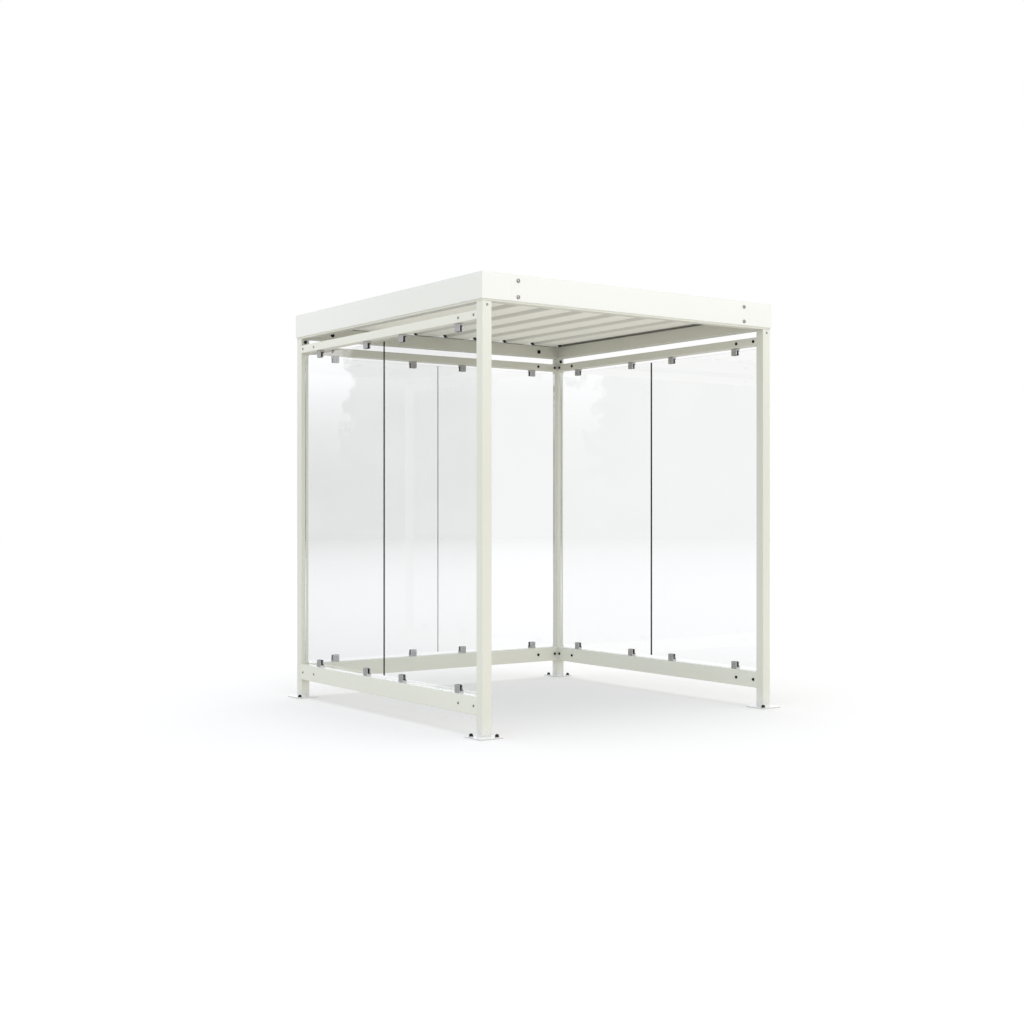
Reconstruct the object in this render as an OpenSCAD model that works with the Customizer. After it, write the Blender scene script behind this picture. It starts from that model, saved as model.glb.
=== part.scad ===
// Smoking shelter: a square steel frame on four base plates, glazed on three
// sides, open at the front, with a ribbed roof sheet inside a folded fascia.
// Units are millimetres. The origin is on the floor at the middle of the
// shelter. +Z is up, the open front faces -Y and +X is to the right of it.

/* [Overall] */

// width over the posts' outer faces, left to right
frame_w = 2160; // [1600:1:3200]
// depth over the posts' outer faces, front to rear
frame_d = 2160; // [1400:1:3200]
// height from the floor to the fascia's top edge
total_h = 2500; // [2200:1:3000]

/* [Posts and base plates] */

// side of the square post tube
post_s = 60; // [50:1:90]
// wall of the post tube
post_wall = 3; // [2:0.5:5]
// outside corner radius of every tube
tube_r = 4; // [3:0.5:8]
// side of the square base plate
plate_s = 150; // [130:1:220]
// thickness of the base plate
plate_t = 8; // [6:0.5:15]
// anchor hole's distance from the post's axis, along X and along Y
anchor_off = 50; // [45:1:90]
// diameter of the anchor hole
anchor_hole_d = 14; // [9:0.5:20]

/* [Rails] */

// height of the low rail tube
low_rail_h = 100; // [60:1:160]
// underside of the low rail above the floor
low_rail_z = 120; // [60:1:250]
// height of the high rail tube
high_rail_h = 50; // [40:1:80]
// open gap between the high rail and the roof beam
vent_gap = 44; // [20:1:120]
// wall of the rail tubes
rail_wall = 3; // [2:0.5:5]

/* [Glass] */

// thickness of a pane
glass_t = 10; // [8:1:12]
// gap between the two panes of a side wall
side_pane_gap = 10; // [4:1:20]
// gap between the two panes of the rear wall
rear_pane_gap = 2; // [2:1:20]
// gap between a pane and the post beside it
pane_post_gap = 10; // [4:1:25]
// gap between a pane's edge and the rail above or below it
pane_rail_gap = 20; // [12:1:30]

/* [Glass clamps] */

// width of a clamp along its rail
clamp_w = 45; // [30:1:70]
// height of a clamp off its rail
clamp_h = 45; // [35:1:60]
// depth of a clamp across the glass
clamp_d = 30; // [26:1:40]
// clamp's middle to the pane's upright edge
clamp_inset = 203; // [120:1:300]
// thickness of the rubber between clamp and glass
rubber_t = 4; // [1:0.5:5]
// radius on the clamp's long edges
clamp_r = 1.5; // [0.5:0.5:3]

/* [Roof frame] */

// height of the roof beams
beam_h = 85; // [60:1:120]
// wall of the roof beams
beam_wall = 3; // [2:0.5:5]
// side of the square spigot under each corner of the roof frame
spigot_s = 50; // [36:1:80]
// length of a spigot inside its post
spigot_l = 90; // [50:1:150]

/* [Roof sheet] */

// thickness of the sheet
sheet_t = 1; // [0.7:0.1:1.5]
// number of ribs
rib_count = 9; // [5:1:14]
// height of a rib
rib_h = 35; // [18:1:50]
// width of a rib at its foot
rib_foot_w = 106; // [70:1:130]
// width of a rib at its crown
rib_crown_w = 40; // [25:1:60]
// outermost rib's middle to the frame's outer face
rib_edge = 80; // [65:1:120]
// sheet's front and side edges to the outer face of the beam under them
sheet_setback = 12; // [4:1:40]
// sheet's rear edge to the rear beam's outer face, open so that rain runs off
sheet_rear_setback = 40; // [4:1:45]

/* [Fascia] */

// height of the fascia
fascia_h = 145; // [110:1:200]
// thickness of the fascia's folded sheet
fascia_t = 2; // [1.5:0.5:3]
// fascia's outer face to the post's outer face
fascia_out = 6; // [5:0.5:30]
// fascia's lower edge above the underside of the roof beams
fascia_lap = 11; // [0:1:30]
// length of the side fascia's return on to the front and the rear
fascia_wrap = 190; // [120:1:300]
// width of the fold along the fascia's top edge
top_fold_w = 20; // [12:1:40]
// half of the open seam between a return and a panel
joint_gap = 0.3; // [0.1:0.1:2]
// width of a joint plate behind the end of a front or rear panel
joint_plate_w = 80; // [50:1:110]
// width of a joint plate behind the end of a return
joint_plate_back = 20; // [10:1:60]
// gap between a joint plate's edges and the fascia's folds
joint_plate_clear = 2; // [1:0.5:10]

/* [Hidden] */

$fn = 48;
// how far a cutting shape reaches past what it cuts
cut_over = 1;

post_x = frame_w / 2 - post_s / 2;
post_y = frame_d / 2 - post_s / 2;
side_l = frame_d - 2 * post_s;
rear_l = frame_w - 2 * post_s;

fascia_z = total_h - fascia_h;
beam_z = fascia_z - fascia_lap;
beam_top = beam_z + beam_h;
high_rail_z = beam_z - vent_gap - high_rail_h;
low_rail_top = low_rail_z + low_rail_h;

glass_z = low_rail_top + pane_rail_gap;
glass_h = high_rail_z - pane_rail_gap - glass_z;

slot_w = glass_t + 2 * rubber_t;
slot_d = clamp_h - pane_rail_gap + 2 * rubber_t;

rib_pitch = (frame_w - 2 * rib_edge) / (rib_count - 1);
fascia_w = frame_w + 2 * fascia_out;
fascia_d = frame_d + 2 * fascia_out;
panel_l = fascia_w - 2 * fascia_wrap;

paint = [0.93, 0.94, 0.89];
roof_paint = [0.86, 0.86, 0.80];
clear = [0.82, 0.88, 0.88, 0.35];
clamp_grey = [0.58, 0.59, 0.60];
black = [0.10, 0.10, 0.10];

// ---------------------------------------------------------------- profiles

// a rectangle w by h about the origin, its corners rounded to radius r
module rounded_rect(w, h, r) {
    square([w - 2 * r, h], center = true);
    square([w, h - 2 * r], center = true);
    for (sx = [-1, 1])
        for (sy = [-1, 1])
            translate([sx * (w / 2 - r), sy * (h / 2 - r)])
                circle(r = r);
}

// the section of a rectangular tube about the origin
module tube_section(w, h, wall) {
    difference() {
        rounded_rect(w, h, tube_r);
        rounded_rect(w - 2 * wall, h - 2 * wall, max(tube_r - wall, 0.5));
    }
}

// a tube along X, its middle at the origin; w is its depth, h its height
module tube_x(l, w, h, wall) {
    rotate([90, 0, 90])
        linear_extrude(height = l, center = true)
            tube_section(w, h, wall);
}

// a tube along Y, its middle at the origin; w is its depth, h its height
module tube_y(l, w, h, wall) {
    rotate([90, 0, 0])
        linear_extrude(height = l, center = true)
            tube_section(w, h, wall);
}

// ------------------------------------------------------- posts and plates

// one post, standing on its base plate and reaching up to the roof beams
module post(sx, sy) {
    color(paint)
        translate([sx * post_x, sy * post_y, plate_t])
            linear_extrude(height = beam_z - plate_t)
                tube_section(post_s, post_s, post_wall);
}

// one base plate; its two anchor holes lie across the line to the middle
module base_plate(sx, sy) {
    color(paint)
        translate([sx * post_x, sy * post_y, 0])
            difference() {
                linear_extrude(height = plate_t)
                    rounded_rect(plate_s, plate_s, tube_r);
                for (k = [-1, 1])
                    translate([k * sx * anchor_off, -k * sy * anchor_off, -cut_over])
                        cylinder(d = anchor_hole_d, h = plate_t + 2 * cut_over);
            }
}

// ------------------------------------------------------------------ rails

// a side rail between the front and the rear post, at height z
module side_rail(sx, z, h) {
    color(paint)
        translate([sx * post_x, 0, z + h / 2])
            tube_y(side_l, post_s, h, rail_wall);
}

// a rear rail between the two rear posts, at height z
module rear_rail(z, h) {
    color(paint)
        translate([0, post_y, z + h / 2])
            tube_x(rear_l, post_s, h, rail_wall);
}

// ------------------------------------------------------------------ glass

// width of one of the two panes in an opening of length l, with gap g between
function pane_w(l, g) = (l - g - 2 * pane_post_gap) / 2;

// distance of a pane's middle from the middle of its wall
function pane_mid(l, g) = (g + pane_w(l, g)) / 2;

// distance of a clamp from its pane's middle
function clamp_mid(l, g) = pane_w(l, g) / 2 - clamp_inset;

// one pane in a wall along X, in the wall's own middle plane
module pane(l, g, k) {
    color(clear)
        translate([k * pane_mid(l, g) - pane_w(l, g) / 2, -glass_t / 2, glass_z])
            cube([pane_w(l, g), glass_t, glass_h]);
}

// ----------------------------------------------------------------- clamps

// side view of a clamp, its foot at the origin and its slot opening upwards
module clamp_section() {
    difference() {
        translate([0, clamp_h / 2])
            rounded_rect(clamp_d, clamp_h, clamp_r);
        translate([-slot_w / 2, clamp_h - slot_d])
            square([slot_w, slot_d + cut_over]);
    }
}

// side view of the rubber that lines a clamp's slot
module rubber_section() {
    difference() {
        translate([-slot_w / 2, clamp_h - slot_d])
            square([slot_w, slot_d]);
        translate([-glass_t / 2, pane_rail_gap])
            square([glass_t, slot_d + cut_over]);
    }
}

// stretch a side view along X to width w, its middle at the origin
module along_rail(w) {
    rotate([90, 0, 90])
        linear_extrude(height = w, center = true)
            children();
}

// put the child at each of the four clamp places of a wall of length l
module at_clamps(l, g) {
    for (k = [-1, 1])
        for (m = [-1, 1])
            translate([k * pane_mid(l, g) + m * clamp_mid(l, g), 0, 0])
                children();
}

// the four clamps that stand on a low rail, for a wall along X
module low_clamps(l, g) {
    color(clamp_grey)
        at_clamps(l, g)
            translate([0, 0, low_rail_top])
                along_rail(clamp_w)
                    clamp_section();
}

// the four clamps that hang from a high rail, for a wall along X
module high_clamps(l, g) {
    color(clamp_grey)
        at_clamps(l, g)
            translate([0, 0, high_rail_z])
                mirror([0, 0, 1])
                    along_rail(clamp_w)
                        clamp_section();
}

// the eight rubbers of a wall along X
module clamp_rubbers(l, g) {
    color(black) {
        at_clamps(l, g)
            translate([0, 0, low_rail_top])
                along_rail(clamp_w)
                    rubber_section();
        at_clamps(l, g)
            translate([0, 0, high_rail_z])
                mirror([0, 0, 1])
                    along_rail(clamp_w)
                        rubber_section();
    }
}

// put a wall made along X at the rear, or turned on to the left or right side
module on_rear() {
    translate([0, post_y, 0])
        children();
}

module on_side(sx) {
    translate([sx * post_x, 0, 0])
        rotate([0, 0, 90])
            children();
}

// ------------------------------------------------------------- roof frame

// a tube along X whose ends are cut at 45 degrees, its outer side towards -Y;
// l is its length over the outer corners
module mitred_tube(l) {
    intersection() {
        tube_x(l + 2 * cut_over, post_s, beam_h, beam_wall);
        translate([0, -post_s / 2, 0])
            linear_extrude(height = beam_h + 2 * cut_over, center = true)
                polygon([
                    [-l / 2 - cut_over, -cut_over],
                    [l / 2 + cut_over, -cut_over],
                    [l / 2 - post_s - cut_over, post_s + cut_over],
                    [-l / 2 + post_s + cut_over, post_s + cut_over]
                ]);
    }
}

// one roof beam of length l, its middle line at distance off from the
// shelter's middle, turned about Z from the front
module roof_beam(l, off, turn) {
    color(paint)
        rotate([0, 0, turn])
            translate([0, -off, beam_z + beam_h / 2])
                mitred_tube(l);
}

// the four spigots under the roof frame, one inside the head of each post
module spigots() {
    color(paint)
        for (sx = [-1, 1])
            for (sy = [-1, 1])
                translate([sx * post_x, sy * post_y, beam_z - spigot_l])
                    linear_extrude(height = spigot_l)
                        tube_section(spigot_s, spigot_s, post_wall);
}

// ------------------------------------------------------------- roof sheet

sheet_w = frame_w - 2 * sheet_setback;
sheet_l = frame_d - sheet_setback - sheet_rear_setback;
sheet_shift = (sheet_setback - sheet_rear_setback) / 2;
flank_turn = atan2(rib_h, (rib_foot_w - rib_crown_w) / 2) / 2;
fold_shift = sheet_t * tan(flank_turn);

// the four corners of rib i on one face of the sheet; up is 0 or sheet_t
function rib_line(i, up) =
    let (x = (i - (rib_count - 1) / 2) * rib_pitch)
    let (s = fold_shift * up / sheet_t)
    [
        [x - rib_foot_w / 2 - s, up],
        [x - rib_crown_w / 2 - s, up + rib_h],
        [x + rib_crown_w / 2 + s, up + rib_h],
        [x + rib_foot_w / 2 + s, up]
    ];

// one face of the sheet from left to right
function sheet_line(up) = concat(
    [[-sheet_w / 2, up]],
    [for (i = [0:rib_count - 1]) each rib_line(i, up)],
    [[sheet_w / 2, up]]
);

// a list of points in the opposite order
function backwards(v) = [for (i = [len(v) - 1:-1:0]) v[i]];

module ribbed_sheet() {
    color(roof_paint)
        translate([0, sheet_shift, beam_top])
            rotate([90, 0, 0])
                linear_extrude(height = sheet_l, center = true)
                    polygon(concat(sheet_line(0), backwards(sheet_line(sheet_t))));
}

// ----------------------------------------------------------------- fascia

// section of the fascia: its outer face at x = 0, the shelter on the +x side
module fascia_section() {
    square([fascia_t, fascia_h]);
    square([fascia_out, fascia_t]);
    translate([0, fascia_h - fascia_t])
        square([top_fold_w, fascia_t]);
}

// a length of fascia along X from x0 to x1, its outer face at y = 0 facing -Y
module fascia_run(x0, x1) {
    translate([x0, 0, fascia_z])
        rotate([90, 0, 90])
            linear_extrude(height = x1 - x0)
                fascia_section();
}

// the panel between the side fascias' returns, for the front
module fascia_panel() {
    color(paint)
        translate([0, -fascia_d / 2, 0])
            fascia_run(-panel_l / 2 + joint_gap, panel_l / 2 - joint_gap);
}

// the plate behind one joint of the front fascia, on the left
module joint_plate() {
    up = fascia_t + joint_plate_clear;
    translate([-panel_l / 2 - joint_plate_back, -fascia_d / 2 + fascia_t, fascia_z + up])
        cube([joint_plate_back + joint_plate_w, fascia_t, fascia_h - 2 * up]);
}

// the left side fascia: its long run, two returns and two joint plates
module fascia_side() {
    color(paint) {
        translate([-fascia_w / 2, 0, 0])
            rotate([0, 0, -90])
                fascia_run(-fascia_d / 2, fascia_d / 2);
        for (k = [0, 1])
            mirror([0, k, 0]) {
                translate([0, -fascia_d / 2, 0])
                    fascia_run(-fascia_w / 2, -panel_l / 2);
                joint_plate();
            }
    }
}

// ------------------------------------------------------------------ nodes

module post_front_left() { post(-1, -1); }
module post_front_right() { post(1, -1); }
module post_rear_left() { post(-1, 1); }
module post_rear_right() { post(1, 1); }

module base_plate_front_left() { base_plate(-1, -1); }
module base_plate_front_right() { base_plate(1, -1); }
module base_plate_rear_left() { base_plate(-1, 1); }
module base_plate_rear_right() { base_plate(1, 1); }

module low_rail_left() { side_rail(-1, low_rail_z, low_rail_h); }
module low_rail_rear() { rear_rail(low_rail_z, low_rail_h); }
module low_rail_right() { side_rail(1, low_rail_z, low_rail_h); }

module high_rail_left() { side_rail(-1, high_rail_z, high_rail_h); }
module high_rail_rear() { rear_rail(high_rail_z, high_rail_h); }
module high_rail_right() { side_rail(1, high_rail_z, high_rail_h); }

module glass_left_front() { on_side(-1) pane(side_l, side_pane_gap, -1); }
module glass_left_rear() { on_side(-1) pane(side_l, side_pane_gap, 1); }
module glass_rear_left() { on_rear() pane(rear_l, rear_pane_gap, -1); }
module glass_rear_right() { on_rear() pane(rear_l, rear_pane_gap, 1); }
module glass_right_front() { on_side(1) pane(side_l, side_pane_gap, -1); }
module glass_right_rear() { on_side(1) pane(side_l, side_pane_gap, 1); }

module low_clamps_left() { on_side(-1) low_clamps(side_l, side_pane_gap); }
module low_clamps_rear() { on_rear() low_clamps(rear_l, rear_pane_gap); }
module low_clamps_right() { on_side(1) low_clamps(side_l, side_pane_gap); }

module high_clamps_left() { on_side(-1) high_clamps(side_l, side_pane_gap); }
module high_clamps_rear() { on_rear() high_clamps(rear_l, rear_pane_gap); }
module high_clamps_right() { on_side(1) high_clamps(side_l, side_pane_gap); }

module clamp_rubbers_left() { on_side(-1) clamp_rubbers(side_l, side_pane_gap); }
module clamp_rubbers_rear() { on_rear() clamp_rubbers(rear_l, rear_pane_gap); }
module clamp_rubbers_right() { on_side(1) clamp_rubbers(side_l, side_pane_gap); }

module roof_beam_front() { roof_beam(frame_w, post_y, 0); }
module roof_beam_rear() { roof_beam(frame_w, post_y, 180); }
module roof_beam_left() { roof_beam(frame_d, post_x, -90); }
module roof_beam_right() { roof_beam(frame_d, post_x, 90); }
module roof_spigots() { spigots(); }
module roof_sheet() { ribbed_sheet(); }

module fascia_front() { fascia_panel(); }
module fascia_rear() { mirror([0, 1, 0]) fascia_panel(); }
module fascia_left() { fascia_side(); }
module fascia_right() { mirror([1, 0, 0]) fascia_side(); }

// --------------------------------------------------------------- drawing

post_front_left();
post_front_right();
post_rear_left();
post_rear_right();
base_plate_front_left();
base_plate_front_right();
base_plate_rear_left();
base_plate_rear_right();
low_rail_left();
low_rail_rear();
low_rail_right();
high_rail_left();
high_rail_rear();
high_rail_right();
glass_left_front();
glass_left_rear();
glass_rear_left();
glass_rear_right();
glass_right_front();
glass_right_rear();
low_clamps_left();
low_clamps_rear();
low_clamps_right();
high_clamps_left();
high_clamps_rear();
high_clamps_right();
clamp_rubbers_left();
clamp_rubbers_rear();
clamp_rubbers_right();
roof_beam_front();
roof_beam_rear();
roof_beam_left();
roof_beam_right();
roof_spigots();
roof_sheet();
fascia_front();
fascia_rear();
fascia_left();
fascia_right();
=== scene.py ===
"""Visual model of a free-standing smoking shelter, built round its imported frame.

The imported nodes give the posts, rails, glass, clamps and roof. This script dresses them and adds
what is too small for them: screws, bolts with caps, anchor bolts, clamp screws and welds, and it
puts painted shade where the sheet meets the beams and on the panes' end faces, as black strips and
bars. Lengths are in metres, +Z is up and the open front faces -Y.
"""

import logging
import math
from dataclasses import dataclass
from enum import Enum, IntEnum
from functools import cache, reduce

import bpy
import numpy as np
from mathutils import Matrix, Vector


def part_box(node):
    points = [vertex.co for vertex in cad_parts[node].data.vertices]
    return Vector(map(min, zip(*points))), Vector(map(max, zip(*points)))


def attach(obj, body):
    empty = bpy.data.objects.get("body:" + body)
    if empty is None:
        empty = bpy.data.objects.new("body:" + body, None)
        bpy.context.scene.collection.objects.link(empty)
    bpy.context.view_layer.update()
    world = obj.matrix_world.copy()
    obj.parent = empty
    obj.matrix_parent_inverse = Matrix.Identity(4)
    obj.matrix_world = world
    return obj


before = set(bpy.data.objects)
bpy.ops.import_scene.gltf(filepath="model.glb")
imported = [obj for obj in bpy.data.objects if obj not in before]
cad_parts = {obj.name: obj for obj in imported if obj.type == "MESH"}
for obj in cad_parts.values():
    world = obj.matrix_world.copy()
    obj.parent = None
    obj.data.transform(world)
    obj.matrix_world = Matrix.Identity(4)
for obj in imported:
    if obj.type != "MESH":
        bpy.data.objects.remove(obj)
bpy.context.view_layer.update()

BODY = "root"
MM = 0.001
UP = np.array([0, 0, 1.0])
LOG = logging.getLogger("shelter")

Colour = tuple[float, float, float]
Span = tuple[float, float]
Sockets = bpy.types.bpy_prop_collection

RISING: Span = (0.0, 1.0)
FALLING: Span = (1.0, 0.0)


class Seed(IntEnum):
    """Seeds of the fasteners' random turns. Walls and sides add their own number to theirs."""

    RAIL_SCREWS = 0
    ANCHOR_WASHERS = 1
    ANCHOR_CAPS = 2
    HEAD_SCREWS = 3
    HEAD_CAPS = 4
    FASCIA_SCREWS = 5
    BEAM_BOLTS = 8
    RAIL_CAPS = 10
    SHEET_SCREWS = 12
    CLAMP_SCREWS = 20


# ---------------------------------------------------------------- places read from the frame


class Wall(Enum):
    """The three glazed walls, by the side that each closes."""

    LEFT = "left"
    REAR = "rear"
    RIGHT = "right"

    @property
    def outward(self) -> np.ndarray:
        """The direction that points out of the shelter through this wall."""
        signs = {Wall.LEFT: (-1.0, 0, 0), Wall.REAR: (0, 1.0, 0), Wall.RIGHT: (1.0, 0, 0)}
        return np.array(signs[self])

    @property
    def along(self) -> np.ndarray:
        """The level direction that runs along this wall."""
        return np.array([1.0, 0, 0]) if self is Wall.REAR else np.array([0, 1.0, 0])


class Labelled(Enum):
    """An option whose name, in small letters, is the one that the nodes use."""

    @property
    def label(self) -> str:
        """The option's name as the nodes use it."""
        return self.name.lower()


class Corner(Labelled):
    """The four posts' corners, each with its signs along X and Y."""

    FRONT_LEFT = (-1, -1)
    FRONT_RIGHT = (1, -1)
    REAR_LEFT = (-1, 1)
    REAR_RIGHT = (1, 1)


class Side(Labelled):
    """The two roof sides that carry screwed fascia panels, with the sign of their outward Y."""

    FRONT = -1
    REAR = 1


def node_box(name: str) -> tuple[np.ndarray, np.ndarray]:
    """Reads a node's box.

    Args:
        name: The node's name.

    Returns:
        Its lowest and highest corners as arrays.
    """
    low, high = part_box(name)
    return np.array(low), np.array(high)


def face_middle(low: np.ndarray, high: np.ndarray, outward: np.ndarray) -> np.ndarray:
    """Finds the middle of a box's face.

    Args:
        low: The box's lowest corner.
        high: The box's highest corner.
        outward: The direction that the face looks in.

    Returns:
        The face's middle point.
    """
    return (low + high) / 2 + (high - low) / 2 * outward


# ---------------------------------------------------------------- surfaces


@dataclass
class Shell:
    """A closed surface: its points, its four-sided faces and its three-sided faces."""

    points: np.ndarray
    quads: np.ndarray
    tris: np.ndarray

    def placed(self, frames: np.ndarray) -> "Shell":
        """Copies the shell to many places at once.

        Each copy's points are the frame's turn applied to the shell's points, plus its place.

        Args:
            frames: Turn and place of each copy, as an array of 3 x 4 matrices.

        Returns:
            One shell that holds all the copies.
        """
        count, size = len(frames), len(self.points)
        points = np.einsum("kij,nj->kni", frames[:, :, :3], self.points) + frames[:, None, :, 3]
        shift = (np.arange(count) * size)[:, None, None]
        quads, tris = (self.quads[None] + shift).reshape(-1, 4), (self.tris[None] + shift).reshape(-1, 3)
        return Shell(points.reshape(-1, 3), quads, tris)

    def piece(self, name: str, slot: str, finish: "Finish", crease: float = 35.0) -> None:
        """Makes the shell a finished piece that rides on the frame.

        Args:
            name: The piece's name.
            slot: The record's material slot; not used.
            finish: What its surface is made of.
            crease: Faces that meet at more than this angle, in degrees, keep a hard edge.
        """
        mesh = bpy.data.meshes.new(name)
        mesh.from_pydata(self.points.tolist(), [], self.quads.tolist() + self.tris.tolist())
        mesh.validate()
        mesh.polygons.foreach_set("use_smooth", np.ones(len(mesh.polygons), bool))
        mesh.set_sharp_from_angle(angle=math.radians(crease))
        mesh.materials.append(finish.material())
        thing = bpy.data.objects.new(name, mesh)
        bpy.context.scene.collection.objects.link(thing)
        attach(thing, BODY)
        LOG.info("piece %s: %d faces", name, len(mesh.polygons))


def merged(shells: list[Shell]) -> Shell:
    """Puts several shells into one.

    Args:
        shells: The shells.

    Returns:
        One shell with the points and faces of all of them, in their order.
    """
    starts = np.cumsum([0] + [len(shell.points) for shell in shells[:-1]])
    return Shell(
        np.vstack([shell.points for shell in shells]),
        np.vstack([shell.quads + start for shell, start in zip(shells, starts)]),
        np.vstack([shell.tris + start for shell, start in zip(shells, starts)]),
    )


def capped(grid: np.ndarray) -> Shell:
    """Closes a stack of rings into a shell, with a pole in the middle of the first and last ring.

    Face s of band r joins points s and s + 1 of ring r to the same points of ring r + 1.

    Args:
        grid: The rings from the foot to the top, each a row of points, counter-clockwise.

    Returns:
        The shell, with its faces outwards.
    """
    count, segments = grid.shape[:2]
    ring, step = np.meshgrid(np.arange(count - 1), np.arange(segments), indexing="ij")
    low, high, after = ring * segments, (ring + 1) * segments, (step + 1) % segments
    quads = np.stack([low + step, low + after, high + after, high + step], -1).reshape(-1, 4)
    step = np.arange(segments)
    after, top, pole = (step + 1) % segments, (count - 1) * segments, np.full(segments, count * segments)
    tris = np.vstack([np.stack([after, step, pole], -1), np.stack([top + step, top + after, pole + 1], -1)])
    return Shell(np.vstack([grid.reshape(-1, 3), grid[[0, -1]].mean(1)]), quads, tris)


def turned(rings: list[tuple[float, float, float]], segments: int) -> Shell:
    """Turns a profile about +Z into a closed shell whose section may pass from round to six-sided.

    A ring of radius r and hex share h has the point at angle a at distance
    r * (1 - h + h * c), where c is the distance of a unit hexagon's edge at that angle.

    Args:
        rings: Radius, height and hex share of each ring, from the foot to the top.
        segments: Points in each ring.

    Returns:
        The shell, with its faces outwards.
    """
    table = np.array(rings)
    angle = np.arange(segments) * 2 * math.pi / segments
    sector = math.pi / 3
    edge = math.cos(sector / 2) / np.cos(np.mod(angle, sector) - sector / 2)
    reach = table[:, :1] * (1 + table[:, 2:] * (edge - 1))
    height = np.repeat(table[:, 1:2], segments, 1)
    return capped(np.stack([reach * np.cos(angle), reach * np.sin(angle), height], -1))


def bar(section: np.ndarray, low: float, high: float) -> Shell:
    """Carries a closed section straight up and closes both ends.

    The point for section step s and end e is (x[s], y[s], low or high).

    Args:
        section: The section's x and y, counter-clockwise.
        low: Height of the lower end.
        high: Height of the upper end.

    Returns:
        The closed bar.
    """
    return capped(np.stack([np.column_stack([section, np.full(len(section), z)]) for z in (low, high)]))


def ring_sweep(path: np.ndarray, outward: np.ndarray, profile: np.ndarray) -> Shell:
    """Carries a closed profile round a closed level path.

    The point for path step s and profile step t is path[s] + outward[s] * u[s, t] + Z * v[s, t].

    Args:
        path: Points of the closed path.
        outward: Unit direction out of the path at each point.
        profile: The profile's u (outwards) and v (up) at each step, one such table per path point.

    Returns:
        A closed ring-shaped shell.
    """
    grid = path[:, None] + outward[:, None] * profile[..., :1] + UP * profile[..., 1:]
    rows, cols = grid.shape[:2]
    i, j = np.meshgrid(np.arange(rows), np.arange(cols), indexing="ij")
    after_i, after_j = (i + 1) % rows * cols, (j + 1) % cols
    quads = np.stack([i * cols + j, after_i + j, after_i + after_j, i * cols + after_j], -1)
    return Shell(grid.reshape(-1, 3), quads.reshape(-1, 4), np.zeros((0, 3), int))


def rounded_loop(half_x: float, half_y: float, radius: float, steps: int) -> tuple[np.ndarray, np.ndarray]:
    """Walks once round a rectangle with rounded corners.

    Each corner is a quarter circle about a centre that lies the radius inside both sides.

    Args:
        half_x: Half of its width.
        half_y: Half of its depth.
        radius: The corners' radius.
        steps: Points in each quarter circle.

    Returns:
        The points and the outward directions, counter-clockwise, with no third coordinate.
    """
    angle = (np.linspace(0, math.pi / 2, steps)[None] + np.arange(4)[:, None] * math.pi / 2).reshape(-1)
    outward = np.column_stack([np.cos(angle), np.sin(angle)])
    signs = np.repeat(np.array([[1, 1], [-1, 1], [-1, -1], [1, -1]]), steps, axis=0)
    return signs * np.array([half_x - radius, half_y - radius]) + outward * radius, outward


def divided(
    loop: np.ndarray, out: np.ndarray, parts: int, shortest: float
) -> tuple[np.ndarray, np.ndarray]:
    """Adds points on the straight sides of a loop.

    Each long step is cut into equal parts, and the direction is blended between its ends.

    Args:
        loop: The loop's points.
        out: Its outward directions.
        parts: Parts of each long step.
        shortest: A step longer than this is a long one.

    Returns:
        The new points and directions.
    """
    after, out_after = np.roll(loop, -1, 0), np.roll(out, -1, 0)
    counts = np.where(np.linalg.norm(after - loop, axis=1) > shortest, parts, 1)
    index = np.repeat(np.arange(len(loop)), counts)
    share = np.concatenate([np.arange(count) / count for count in counts])[:, None]
    points = loop[index] * (1 - share) + after[index] * share
    directions = out[index] * (1 - share) + out_after[index] * share
    return points, directions / np.linalg.norm(directions, axis=1, keepdims=True)


def standing(places: np.ndarray, axis: np.ndarray, turns: np.ndarray) -> np.ndarray:
    """Makes the frames of parts that stand on a surface.

    The part's +Z goes to the axis, and it is turned about it by its own angle.

    Args:
        places: Foot of each part.
        axis: The direction that all of them stand out in.
        turns: Turn of each part about that direction, in radians.

    Returns:
        An array of 3 x 4 matrices.
    """
    helper = UP if abs(axis[2]) < 0.9 else np.array([0, 1.0, 0])
    side = np.cross(helper, axis)
    side /= np.linalg.norm(side)
    other = np.cross(axis, side)
    cos, sin = np.cos(turns)[:, None], np.sin(turns)[:, None]
    upright = np.broadcast_to(axis, (len(turns), 3))
    return np.stack([cos * side + sin * other, cos * other - sin * side, upright, places], -1)


# ---------------------------------------------------------------- shader building


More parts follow.
